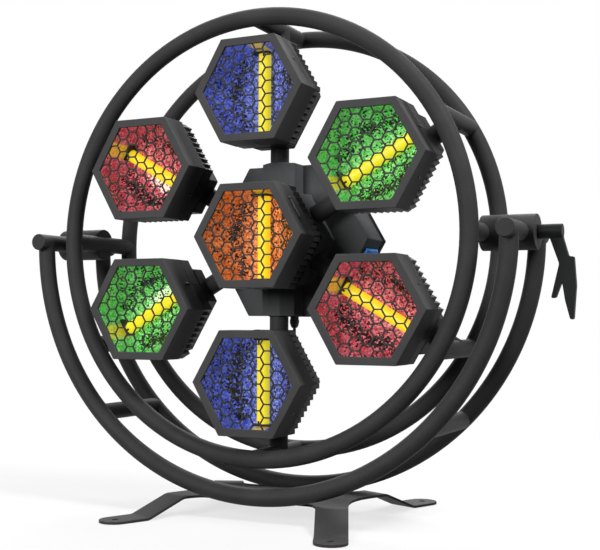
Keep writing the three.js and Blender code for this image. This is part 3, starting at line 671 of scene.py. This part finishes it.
def make_clamp_handle():
    """The lever's outline is given in shares of its reach and drop, clockwise from the shaft."""
    lever = prism([(LEVER_START + out * LEVER_REACH, -LEVER_HALF, -down * LEVER_DROP)
                   for out, down in LEVER_SHARES], (0, 2 * LEVER_HALF, 0))
    corners = [edge for edge in lever.edges if abs(edge.verts[0].co.y - edge.verts[1].co.y) > LEVER_HALF]
    bmesh.ops.bevel(lever, geom=corners, offset=LEVER_CORNER, segments=4, profile=0.5, affect="EDGES",
                    material=-1, clamp_overlap=True)
    soften(lever, LEVER_EDGE, 3, 50)
    stud = straight_tube((BOSS_END - STUD_LENGTH, 0, 0), (LEVER_START + 4, 0, 0), PIN_RADIUS)
    shaft = straight_tube((LEVER_START, 0, 0), (HANDLE_HIGH.x - SHAFT_SHORT, 0, 0), SHAFT_RADIUS, 48, 1.2)
    make_piece("clamp_lever", joined([lever, stud, shaft]), ROUND_AXIS, "clamp_handle",
               lever_powder_coat, ["clamp_handle"], 32)


# Heads

BEZEL_FLATS = 140.0
BEZEL_WALL = 4.0
BEZEL_ROUNDING = 1.1
SLEEVE_INSIDE = 159.0
SHEET_CLEARANCE = 0.6
GRILLE_FRONT = -105.7
GRILLE_THICK = 2.0
CELL_PITCH = 20.5
CELL_WALL = 2.2
CELL_EDGE = 0.3
GRILLE_CROP = 146.0
FIN_COUNT = 16
FIN_PITCH = HEAD_FLATS / (FIN_COUNT + 2)
FIN_THICK = 8.0
SINK_FRONT = -57.7
CUP_BACK = -30.0
CUP_FLATS = 150.0
CUP_FLOOR = 6.0
CUP_INSIDE = 142.0
CUP_MOUTH = 149.4
FLANGE = 1.6
FIN_ROOT = 2.0
BACK_BOX_FLATS = 136.0
BACK_BOX_ROUNDING = 1.6
LAMP_HALF = 69.0
LAMP_RADIUS = 10.0
LAMP_DEPTH = -48.5
SOCKET_WIDE = 31.0
SOCKET_DEEP = 22.0
SOCKET_THICK = 3.6
SOCKET_ASIDE = -3.5
LAMP_CLIP = (3, 3, 7)
REFLECTOR_WALL = [(158.4, -103.4), (150, -60), (138, -36.3), (135, -36.3), (147, -61.5), (155.4, -103.4)]
REFLECTOR_HALF_WIDTH = 89.0
TROUGH_FLOOR = -38.0
TROUGH_DEPTH = 64.0
# Each wall line the trough is cut along: half the width across flats, its depth and its slope
WALL_LINES = [(68.6, -38.0, 0.24), (74.3, -60.0, 0.1)]
FACETS_ACROSS = 52
FACET_DENT = 0.42
FACET_SHIFT = 0.9
FACET_SMOOTHING = 5


def housing_shape():
    return hexagonal([(HEAD_FLATS, SLEEVE_BACK), (HEAD_FLATS, HEAD_FRONT), (BEZEL_FLATS, HEAD_FRONT),
                      (BEZEL_FLATS, HEAD_FRONT + BEZEL_WALL), (SLEEVE_INSIDE, HEAD_FRONT + BEZEL_WALL),
                      (SLEEVE_INSIDE, SLEEVE_BACK)], rounding=BEZEL_ROUNDING, segments=3)


def flat_side(number):
    """Unit vector through the middle of one of a head's six flats."""
    return outward(pi / 6 + number * pi / 3)


def cut(bm, place, side):
    """Cuts away all that lies beyond a plane."""
    bmesh.ops.bisect_plane(bm, geom=bm.verts[:] + bm.edges[:] + bm.faces[:],
                           plane_co=place, plane_no=side, clear_outer=True)


def honeycomb_shape():
    """Hexagon cells merged to a tiling, each inset by half the wall and opened, cropped at the bezel."""
    bm = bmesh.new()
    column_step = CELL_PITCH * cos(pi / 6)
    columns = int(GRILLE_CROP / column_step / 2) + 2
    lie_flat = Matrix.Rotation(pi / 2, 4, "X") @ Matrix.Rotation(pi / 6, 4, "Z")
    for column in range(-columns, columns + 1):
        for row in range(-columns, columns + 1):
            middle = Vector((column * column_step, 0, (row + (column % 2) / 2) * CELL_PITCH))
            if middle.length < GRILLE_CROP * 0.72:
                bmesh.ops.create_circle(bm, cap_ends=True, segments=6, radius=CELL_PITCH / sqrt(3),
                                        matrix=Matrix.Translation(middle) @ lie_flat)
    bmesh.ops.remove_doubles(bm, verts=bm.verts[:], dist=0.05)
    cells = bm.faces[:]
    bmesh.ops.inset_individual(bm, faces=cells, thickness=CELL_WALL / 2, use_even_offset=True)
    bmesh.ops.delete(bm, geom=cells, context="FACES_ONLY")
    for number in range(6):
        cut(bm, flat_side(number) * GRILLE_CROP / 2, flat_side(number))
    made = bmesh.ops.extrude_face_region(bm, geom=bm.faces[:])
    back = [part for part in made["geom"] if isinstance(part, bmesh.types.BMVert)]
    bmesh.ops.translate(bm, verts=back, vec=(0, GRILLE_THICK, 0))
    bmesh.ops.translate(bm, verts=bm.verts[:], vec=(0, GRILLE_FRONT, 0))
    bmesh.ops.recalc_face_normals(bm, faces=bm.faces[:])
    rim_inside, rim_outside = GRILLE_CROP - 2, SLEEVE_INSIDE - SHEET_CLEARANCE
    rim = [(rim_outside, GRILLE_FRONT + GRILLE_THICK), (rim_outside, GRILLE_FRONT),
           (rim_inside, GRILLE_FRONT), (rim_inside, GRILLE_FRONT + GRILLE_THICK)]
    return joined([soften(bm, CELL_EDGE, 1, 60), hexagonal(rim)])


def reflector_shape():
    """A trough along the lamp, hammered in small facets, inside a hexagonal wall."""
    wall = hexagonal(REFLECTOR_WALL)
    trough = bmesh.new()
    bmesh.ops.create_grid(trough, x_segments=FACETS_ACROSS, y_segments=FACETS_ACROSS,
                          size=REFLECTOR_HALF_WIDTH * 1.05, matrix=Matrix.Rotation(pi / 2, 4, "X"))
    chance = Random(7)
    for vertex in trough.verts:
        share = vertex.co.x / REFLECTOR_HALF_WIDTH
        dent = Vector(chance.uniform(-1, 1) for axis in range(3))
        vertex.co.y = TROUGH_FLOOR - TROUGH_DEPTH * share * share
        vertex.co += Vector((dent.x * FACET_SHIFT, dent.y * FACET_DENT, dent.z * FACET_SHIFT))
    bmesh.ops.triangulate(trough, faces=trough.faces[:])
    for foot, depth, slope in WALL_LINES:
        for number in range(6):
            side = flat_side(number)
            cut(trough, side * foot + Vector((0, depth, 0)), side + Vector((0, slope, 0)))
    for face in trough.faces:
        if face.normal.y > 0:
            face.normal_flip()
    return joined([wall, trough])


def lamp_shape():
    tube = turned([(0, -LAMP_HALF), (LAMP_RADIUS, -LAMP_HALF), (LAMP_RADIUS, LAMP_HALF), (0, LAMP_HALF)], 48,
                  rounding=3.0, segments=4)
    stand = Matrix.Translation((0, LAMP_DEPTH, 0)) @ Matrix.Rotation(pi / 2, 4, "X")
    return moved(tube, stand)


def holder_shape():
    """Black sockets let into both end walls, a little off the lamp's line."""
    parts = []
    for end in (-1, 1):
        plate = block((SOCKET_WIDE, SOCKET_DEEP, SOCKET_THICK),
                      (SOCKET_ASIDE, LAMP_DEPTH - 1, end * (LAMP_HALF - 1)), 0.8)
        clip = block(LAMP_CLIP, (LAMP_RADIUS * 0.3, LAMP_DEPTH - LAMP_RADIUS, end * (LAMP_HALF - 4)), 0.6)
        parts += [plate, clip]
    return joined(parts)


def half_width(flats, height):
    """Half the width of a hexagon with points on the X axis at a height from its middle."""
    return flats / sqrt(3) - abs(height) / sqrt(3)


def heat_sink_shape(back):
    """A tapered cup with a flange against the sleeve, fins on both sides and a box up to the back."""
    floor = CUP_BACK - CUP_FLOOR
    flange_outside = HEAD_FLATS - SHEET_CLEARANCE
    cup = hexagonal([(CUP_FLATS, SINK_FRONT), (CUP_FLATS, CUP_BACK), (0, CUP_BACK), (0, floor),
                     (CUP_INSIDE, floor), (CUP_MOUTH, SINK_FRONT)])
    flange = hexagonal([(CUP_MOUTH, SINK_FRONT), (flange_outside, SINK_FRONT),
                        (flange_outside, SINK_FRONT + FLANGE), (CUP_MOUTH, SINK_FRONT + FLANGE)])
    parts = [cup, flange]
    heights = [(number - (FIN_COUNT + 1) / 2) * FIN_PITCH for number in range(FIN_COUNT + 2)]
    for height in heights:
        outer = half_width(HEAD_FLATS, abs(height) + FIN_THICK / 2)
        inner = half_width(CUP_FLATS - FIN_ROOT, height) if abs(height) < CUP_FLATS / 2 else 0
        for side in (-1, 1):
            parts.append(block((outer - inner, CUP_BACK - SINK_FRONT, FIN_THICK),
                               (side * (outer + inner) / 2, (CUP_BACK + SINK_FRONT) / 2, height), 0.5, 1))
    half_flat = HEAD_FLATS / 2
    tip, shoulder = half_width(BACK_BOX_FLATS, 0), half_width(BACK_BOX_FLATS, half_flat)
    outline = [(tip, 0), (shoulder, half_flat), (-shoulder, half_flat),
               (-tip, 0), (-shoulder, -half_flat), (shoulder, -half_flat)]
    case = prism([(x, CUP_BACK, z) for x, z in outline], (0, back - CUP_BACK, 0))
    parts.append(soften(case, BACK_BOX_ROUNDING, 3))
    return joined(parts)


SLEEVE_SCREWS = (-74.5, -66.0)
SIDE_SCREW = (-5.0, -83.0)
CLIP_BAR = (40.0, 5.0, 1.6)
CLIP_MIDDLE = (-2.0, -82.0)
CLIP_SCREW_SHARE = 0.42
BACK_SCREWS = (34.0, 54.0)


def on_flat(number, along, depth):
    """Frame of one flat of a head's sleeve: Y points outwards from it."""
    turn = Matrix.Rotation(number * pi / 3, 4, "Y")
    return turn @ Matrix.Translation((along, depth, HEAD_FLATS / 2)) @ Matrix.Rotation(pi / 2, 4, "X")


def head_screws(head, back):
    """Small screws on the sleeve's flats and on the back box; the centre head also has a clip bar."""
    parts = [screw(on_flat(number, 0, depth)) for number in (0, 3) for depth in SLEEVE_SCREWS]
    parts += [screw(Matrix.Translation((x, back, z))) for x in (-BACK_SCREWS[0], BACK_SCREWS[0])
              for z in (-BACK_SCREWS[1], BACK_SCREWS[1])]
    if head == "centre":
        along, wide, thick = CLIP_BAR
        bar = block((along, thick, wide), (0, thick / 2 - 0.4, 0), 0.5)
        parts.append(moved(bar, on_flat(1, *CLIP_MIDDLE)))
        parts += [screw(on_flat(1, CLIP_MIDDLE[0] + end * along * CLIP_SCREW_SHARE, CLIP_MIDDLE[1])
                        @ Matrix.Translation((0, thick - 0.6, 0))) for end in (-1, 1)]
    else:
        parts += [screw(on_flat(1, *SIDE_SCREW)), screw(on_flat(5, -SIDE_SCREW[0], SIDE_SCREW[1]))]
    return joined(parts)


def lamp_angle(head):
    """The insides of the two left heads stand half turned, like those of the heads across from them."""
    angle = head_angle(head)
    return angle if cos(angle) > -0.1 else angle + pi


def make_head(head):
    place = along_arm(head_angle(head), head_centre(head))
    inside = along_arm(lamp_angle(head), head_centre(head))
    colour = COLOURS[head]
    back = node_box(head + "_heat_sink")[1].y
    make_piece(head + "_housing_sleeve", housing_shape(), place, "head_frame",
               sheet_powder_coat, [head + "_housing"])
    make_piece(head + "_honeycomb_sheet", honeycomb_shape(), place, "head_frame",
               honeycomb_coat, [head + "_grille"])
    make_piece(head + "_hammered_reflector", reflector_shape(), inside, "head_frame",
               REFLECTORS[colour], [head + "_reflector"], FACET_SMOOTHING)
    make_piece(head + "_lamp_tube", lamp_shape(), inside, "head_frame", lamp_phosphor,
               [head + "_lamp"])
    make_piece(head + "_lamp_sockets", holder_shape(), inside, "head_frame", black_nylon)
    make_piece(head + "_finned_heat_sink", heat_sink_shape(back), place, "head_frame",
               black_anodised, [head + "_heat_sink"])
    make_piece(head + "_screws", head_screws(head, back), place, "head_frame", black_zinc)


# Hub, control box and its fittings

HUB_FLATS = 150.0
HUB_FRONT = BOX_LOW.y
BOX_WALL = 3.0
BOX_ROUNDING = 1.6
ARM_HALF = 30.0
ARM_FACE_HALF = 10.25
ARM_SLOPE = 16.0
BOX_FLATS = BOX_HIGH.z - BOX_LOW.z
BOX_FRONT = 35.0
BOX_BACK = 102.0
BOX_MIDDLE = (BOX_FRONT + BOX_BACK) / 2
COVER_FLATS = COVER_HIGH.z - COVER_LOW.z
COVER_THICK = 3.0
COVER_SUNK = 4.0
NECK_FLATS = 245.0


def make_control_box():
    """An open hexagonal box with a hub on its front and one arm cover that runs over it from top to bottom,
    and the cover on its back.
    """
    inside = BOX_FLATS - 2 * BOX_WALL
    shell = hexagonal([(0, HUB_FRONT), (HUB_FLATS, HUB_FRONT), (HUB_FLATS, BOX_FRONT),
                       (BOX_FLATS, BOX_FRONT), (BOX_FLATS, BOX_BACK), (inside, BOX_BACK),
                       (inside, BOX_FRONT + BOX_WALL), (0, BOX_FRONT + BOX_WALL)],
                      rounding=BOX_ROUNDING, segments=3, closed=False)
    shoulder = HUB_FRONT + ARM_SLOPE
    section = [(-ARM_FACE_HALF, HUB_FRONT), (ARM_FACE_HALF, HUB_FRONT), (ARM_HALF, shoulder),
               (ARM_HALF, BOX_FRONT + 1), (-ARM_HALF, BOX_FRONT + 1), (-ARM_HALF, shoulder)]
    arm = prism([(x, depth, -BOX_FLATS / 2) for x, depth in section], (0, 0, BOX_FLATS))
    make_piece("hub_and_control_box", joined([shell, soften(arm, BOX_ROUNDING, 3, 20)]), ROUND_AXIS,
               "head_frame", box_powder_coat, ["control_box"])
    neck, seat = BOX_BACK - COVER_SUNK, COVER_HIGH.y - COVER_THICK
    cover = hexagonal([(0, neck), (NECK_FLATS, neck), (NECK_FLATS, seat), (COVER_FLATS, seat),
                       (COVER_FLATS, COVER_HIGH.y), (0, COVER_HIGH.y)], rounding=0.9, closed=False)
    make_piece("rear_cover_plate", cover, ROUND_AXIS, "head_frame",
               box_powder_coat, ["control_box_cover"])


WINDOW = (60.0, 24.0)
WINDOW_MIDDLE = -34.0
WINDOW_FRAME = 3.5
COVER_SCREWS = 131.0


def make_cover_fittings():
    """A smoked display window in a thin frame above the buttons, and a screw at each corner."""
    wide, high = WINDOW
    back = COVER_HIGH.y
    rim = block((wide + 2 * WINDOW_FRAME, 1.6, high + 2 * WINDOW_FRAME), (0, back + 0.2, WINDOW_MIDDLE), 0.6)
    make_piece("display_frame", rim, ROUND_AXIS, "head_frame", black_nylon)
    pane = block((wide, 1.2, high), (0, back + 0.9, WINDOW_MIDDLE), 0.5)
    make_piece("display_window", pane, ROUND_AXIS, "head_frame", smoked_acrylic)
    corners = [at(COVER_SCREWS, number * pi / 3, back) for number in range(6)]
    screws = joined([screw(Matrix.Translation(corner)) for corner in corners])
    make_piece("cover_screws", screws, ROUND_AXIS, "head_frame", black_zinc)


INLET_FLANGE = 47.0
INLET_THICK = 6.0
INLET_REACH = 12.0
INLET_RADIUS = 18.0
INLET_WALL = 3.5
INLET_FLOOR = 2.0
INLET_FROM_CORNER = 39.5
SEAT_GAP = 0.3
CORE_RADIUS = 9.0
CORE_REACH = 10.0
CONTACT = (4, 2, 4)
CONTACT_CIRCLE = 11.5


def make_power_inlet():
    """A round blue inlet on a square flange, with a recessed mouth and three contacts."""
    along = INLET_FROM_CORNER - BOX_FLATS / sqrt(3) / 2
    seat = BOX_FLATS / 2 + SEAT_GAP
    flange = block((INLET_FLANGE, INLET_FLANGE, INLET_THICK), (along, BOX_MIDDLE, seat + INLET_THICK / 2),
                   2.4, 4)
    bore = INLET_RADIUS - INLET_WALL
    barrel = turned([(INLET_RADIUS, 0), (INLET_RADIUS, INLET_REACH), (bore, INLET_REACH),
                     (bore, INLET_FLOOR), (0, INLET_FLOOR)], 48, rounding=0.8)
    place = along_arm(head_angle("lower_right"))
    mouth = Vector((along, BOX_MIDDLE, seat + INLET_THICK))
    make_piece("power_inlet_body", joined([flange, standing(barrel, mouth)]), place, "head_frame",
               blue_nylon, ["power_inlet"])
    middle = turned([(0, INLET_FLOOR), (CORE_RADIUS, INLET_FLOOR), (CORE_RADIUS, CORE_REACH),
                     (0, CORE_REACH)], 32, rounding=1.0)
    core = [standing(middle, mouth)]
    for number in range(3):
        turn = number * 2 * pi / 3
        spot = Vector((CONTACT_CIRCLE * cos(turn), CONTACT_CIRCLE * sin(turn), CONTACT[2]))
        core.append(block(CONTACT, mouth + spot, 0.4, 1))
    make_piece("power_inlet_core", joined(core), place, "head_frame", black_nylon)


GLAND_DEPTH = 65.0
GLAND_RADIUS = 8.0
GLAND_REACH = 20.0
GLAND_NUT = 5.0
GLAND_RIBS = 12
# The cap's profile above the nut, in shares of the gland's radius and in millimetres
GLAND_CAP = [(0, GLAND_NUT), (0.92, GLAND_NUT), (0.92, 12), (0.85, 16), (0.62, 19), (0.42, GLAND_REACH),
             (0, GLAND_REACH)]
RIB = (0.9, 1.2, 7)
CABLE_RADIUS = 2.6
CORNER_CUTS = 3
CABLE_ROUTE = [(0, 65, -146), (0, 65, -161), (3, 58, -172), (12, 47.5, -183), (20, 32, -194),
               (24.5, 17, -203), (26, 6, -205), (26, 0.4, -205)]


def make_gland():
    """A hexagon nut with a ribbed cap that tapers in a round to the cable."""
    nut = turned([(0, 0), (GLAND_RADIUS, 0), (GLAND_RADIUS, GLAND_NUT), (0, GLAND_NUT)], 6, rounding=0.7)
    cap = turned([(GLAND_RADIUS * share, height) for share, height in GLAND_CAP], 48)
    parts = [standing(nut, (0, 0, 0)), standing(cap, (0, 0, 0))]
    for number in range(GLAND_RIBS):
        turn = Matrix.Rotation(number * 2 * pi / GLAND_RIBS, 4, "Z")
        parts.append(moved(block(RIB, (GLAND_RADIUS * 0.93, 0, 9), 0.3, 1), turn))
    place = along_arm(head_angle("bottom"), Vector((0, GLAND_DEPTH, -BOX_FLATS / 2)))
    make_piece("cable_gland", joined(parts), place, "head_frame", black_nylon,
               ["head_cable"])


def make_cable():
    """The cable follows its route, with the corners cut again and again until they are round."""
    run = [Vector(point) for point in CABLE_ROUTE]
    for corner_cut in range(CORNER_CUTS):
        finer = [run[0]]
        for first, second in zip(run, run[1:]):
            finer += [first.lerp(second, 0.25), first.lerp(second, 0.75)]
        run = finer + [run[-1]]
    make_wire("head_cable_sheath", [run], CABLE_RADIUS, ROUND_AXIS, "head_frame",
              rubber_sheath, closed=False)


def make_carried_nodes():
    """CAD nodes whose shape is right already and take a material only."""
    for name, material in (("driver_board", solder_mask), ("left_menu_button", black_nylon),
                           ("right_menu_button", black_nylon)):
        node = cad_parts[name]
        for number in range(len(node.material_slots)):
            node.material_slots[number].material = material


# Studio

FLOOR = PLATE_LOW.z * MM
FLOOR_DROP = 0.0005
FLOOR_HALF = 30
WORLD_FILL = 0.045
# The floor is lit and takes the shadow near the light and runs out to plain white, in metres
LIT_TO = 0.5
WHITE_FROM = 1.6
LEAST_WHITE = 0.72
# The camera that was fitted to the photo: place in metres, turns in degrees, lens in picture points
CAMERA_PLACE = (0.8148, -1.6191, 0.2910)
CAMERA_YAW = 26.35
CAMERA_PITCH = 2.92
CAMERA_ROLL = 0.26
FOCAL_PIXELS = 1102.85
PRINCIPAL_POINT = (284.5, 260.5)
PICTURE = (600, 550)


def make_camera():
    camera = bpy.data.cameras.new("camera")
    camera.sensor_width = 36
    camera.lens = FOCAL_PIXELS / PICTURE[0] * camera.sensor_width
    camera.shift_x = (PICTURE[0] / 2 - PRINCIPAL_POINT[0]) / PICTURE[0]
    camera.shift_y = (PRINCIPAL_POINT[1] - PICTURE[1] / 2) / PICTURE[0]
    holder = bpy.data.objects.new("camera", camera)
    turn = Matrix.Rotation(radians(CAMERA_YAW), 4, "Z") @ Matrix.Rotation(radians(90 + CAMERA_PITCH), 4, "X")
    roll = Matrix.Rotation(radians(CAMERA_ROLL), 4, "Z")
    holder.matrix_world = Matrix.Translation(CAMERA_PLACE) @ turn @ roll
    bpy.context.scene.collection.objects.link(holder)
    bpy.context.scene.camera = holder


def seen_directly(tree):
    """One for camera, glossy and transmission rays, which see the white studio."""
    path = add(tree, "ShaderNodeLightPath")
    gloss = add(tree, "ShaderNodeMath", {0: path.outputs["Is Camera Ray"], 1: path.outputs["Is Glossy Ray"]},
                operation="MAXIMUM")
    return add(tree, "ShaderNodeMath", {0: gloss.outputs[0], 1: path.outputs["Is Transmission Ray"]},
               operation="MAXIMUM").outputs[0]


def make_world():
    world = bpy.data.worlds.new("studio")
    bpy.context.scene.world = world
    world.use_nodes = True
    tree = world.node_tree
    tree.nodes.clear()
    fill = add(tree, "ShaderNodeBackground", {"Color": linear("#ffffff"), "Strength": WORLD_FILL})
    white = add(tree, "ShaderNodeBackground", {"Color": linear("#ffffff"), "Strength": 1.0})
    mix = add(tree, "ShaderNodeMixShader", {0: seen_directly(tree), 1: fill.outputs[0], 2: white.outputs[0]})
    add(tree, "ShaderNodeOutputWorld", {"Surface": mix.outputs[0]})


def make_floor():
    bm = bmesh.new()
    bmesh.ops.create_grid(bm, x_segments=1, y_segments=1, size=FLOOR_HALF)
    bmesh.ops.translate(bm, verts=bm.verts[:], vec=(0, 0, FLOOR - FLOOR_DROP))
    mesh = bpy.data.meshes.new("studio_floor")
    bm.to_mesh(mesh)
    bm.free()
    made, tree = start_material("pale_studio_floor")
    place = add(tree, "ShaderNodeTexCoord").outputs["Object"]
    away = add(tree, "ShaderNodeVectorMath", {0: place}, operation="LENGTH")
    white_share = add(tree, "ShaderNodeMapRange", {"Value": away.outputs["Value"], "From Min": LIT_TO,
                                                   "From Max": WHITE_FROM, "To Min": LEAST_WHITE,
                                                   "To Max": 1.0})
    lit = add(tree, "ShaderNodeBsdfDiffuse", {"Color": linear("#f4f4f4")})
    white = add(tree, "ShaderNodeEmission", {"Color": linear("#ffffff"), "Strength": 1.0})
    bounce = add(tree, "ShaderNodeBsdfDiffuse", {"Color": linear("#2e2e2e")})
    seen = add(tree, "ShaderNodeMixShader", {0: white_share.outputs["Result"], 1: lit.outputs[0],
                                             2: white.outputs[0]})
    both = add(tree, "ShaderNodeMixShader", {0: seen_directly(tree), 1: bounce.outputs[0],
                                             2: seen.outputs[0]})
    show(tree, both)
    mesh.materials.append(made)
    floor = bpy.data.objects.new("studio_floor", mesh)
    bpy.context.scene.collection.objects.link(floor)


def make_lamp(name, place, aim, size, power):
    lamp = bpy.data.lights.new(name, "AREA")
    lamp.size = size
    lamp.energy = power
    holder = bpy.data.objects.new(name, lamp)
    way = Vector(aim) - Vector(place)
    holder.matrix_world = Matrix.Translation(place) @ way.to_track_quat("-Z", "Y").to_matrix().to_4x4()
    bpy.context.scene.collection.objects.link(holder)


def make_studio():
    make_camera()
    make_world()
    make_floor()
    middle = (0, 0, AXIS_HEIGHT * MM)
    make_lamp("key_lamp", (1.9, -0.5, 2.8), middle, 1.0, 86)
    make_lamp("front_lamp", (-0.75, -2.95, 1.1), middle, 1.2, 66)
    make_lamp("rear_lamp", (-1.1, 2.2, 2.6), middle, 2.6, 105)
    bpy.context.scene.view_settings.view_transform = "Standard"


make_studio()
make_head_frame()
make_pivots()
make_cradle()
make_base_plate()
make_clamp_handle()
for head in HEADS:
    make_head(head)
make_control_box()
make_cover_fittings()
make_power_inlet()
make_gland()
make_cable()
make_carried_nodes()
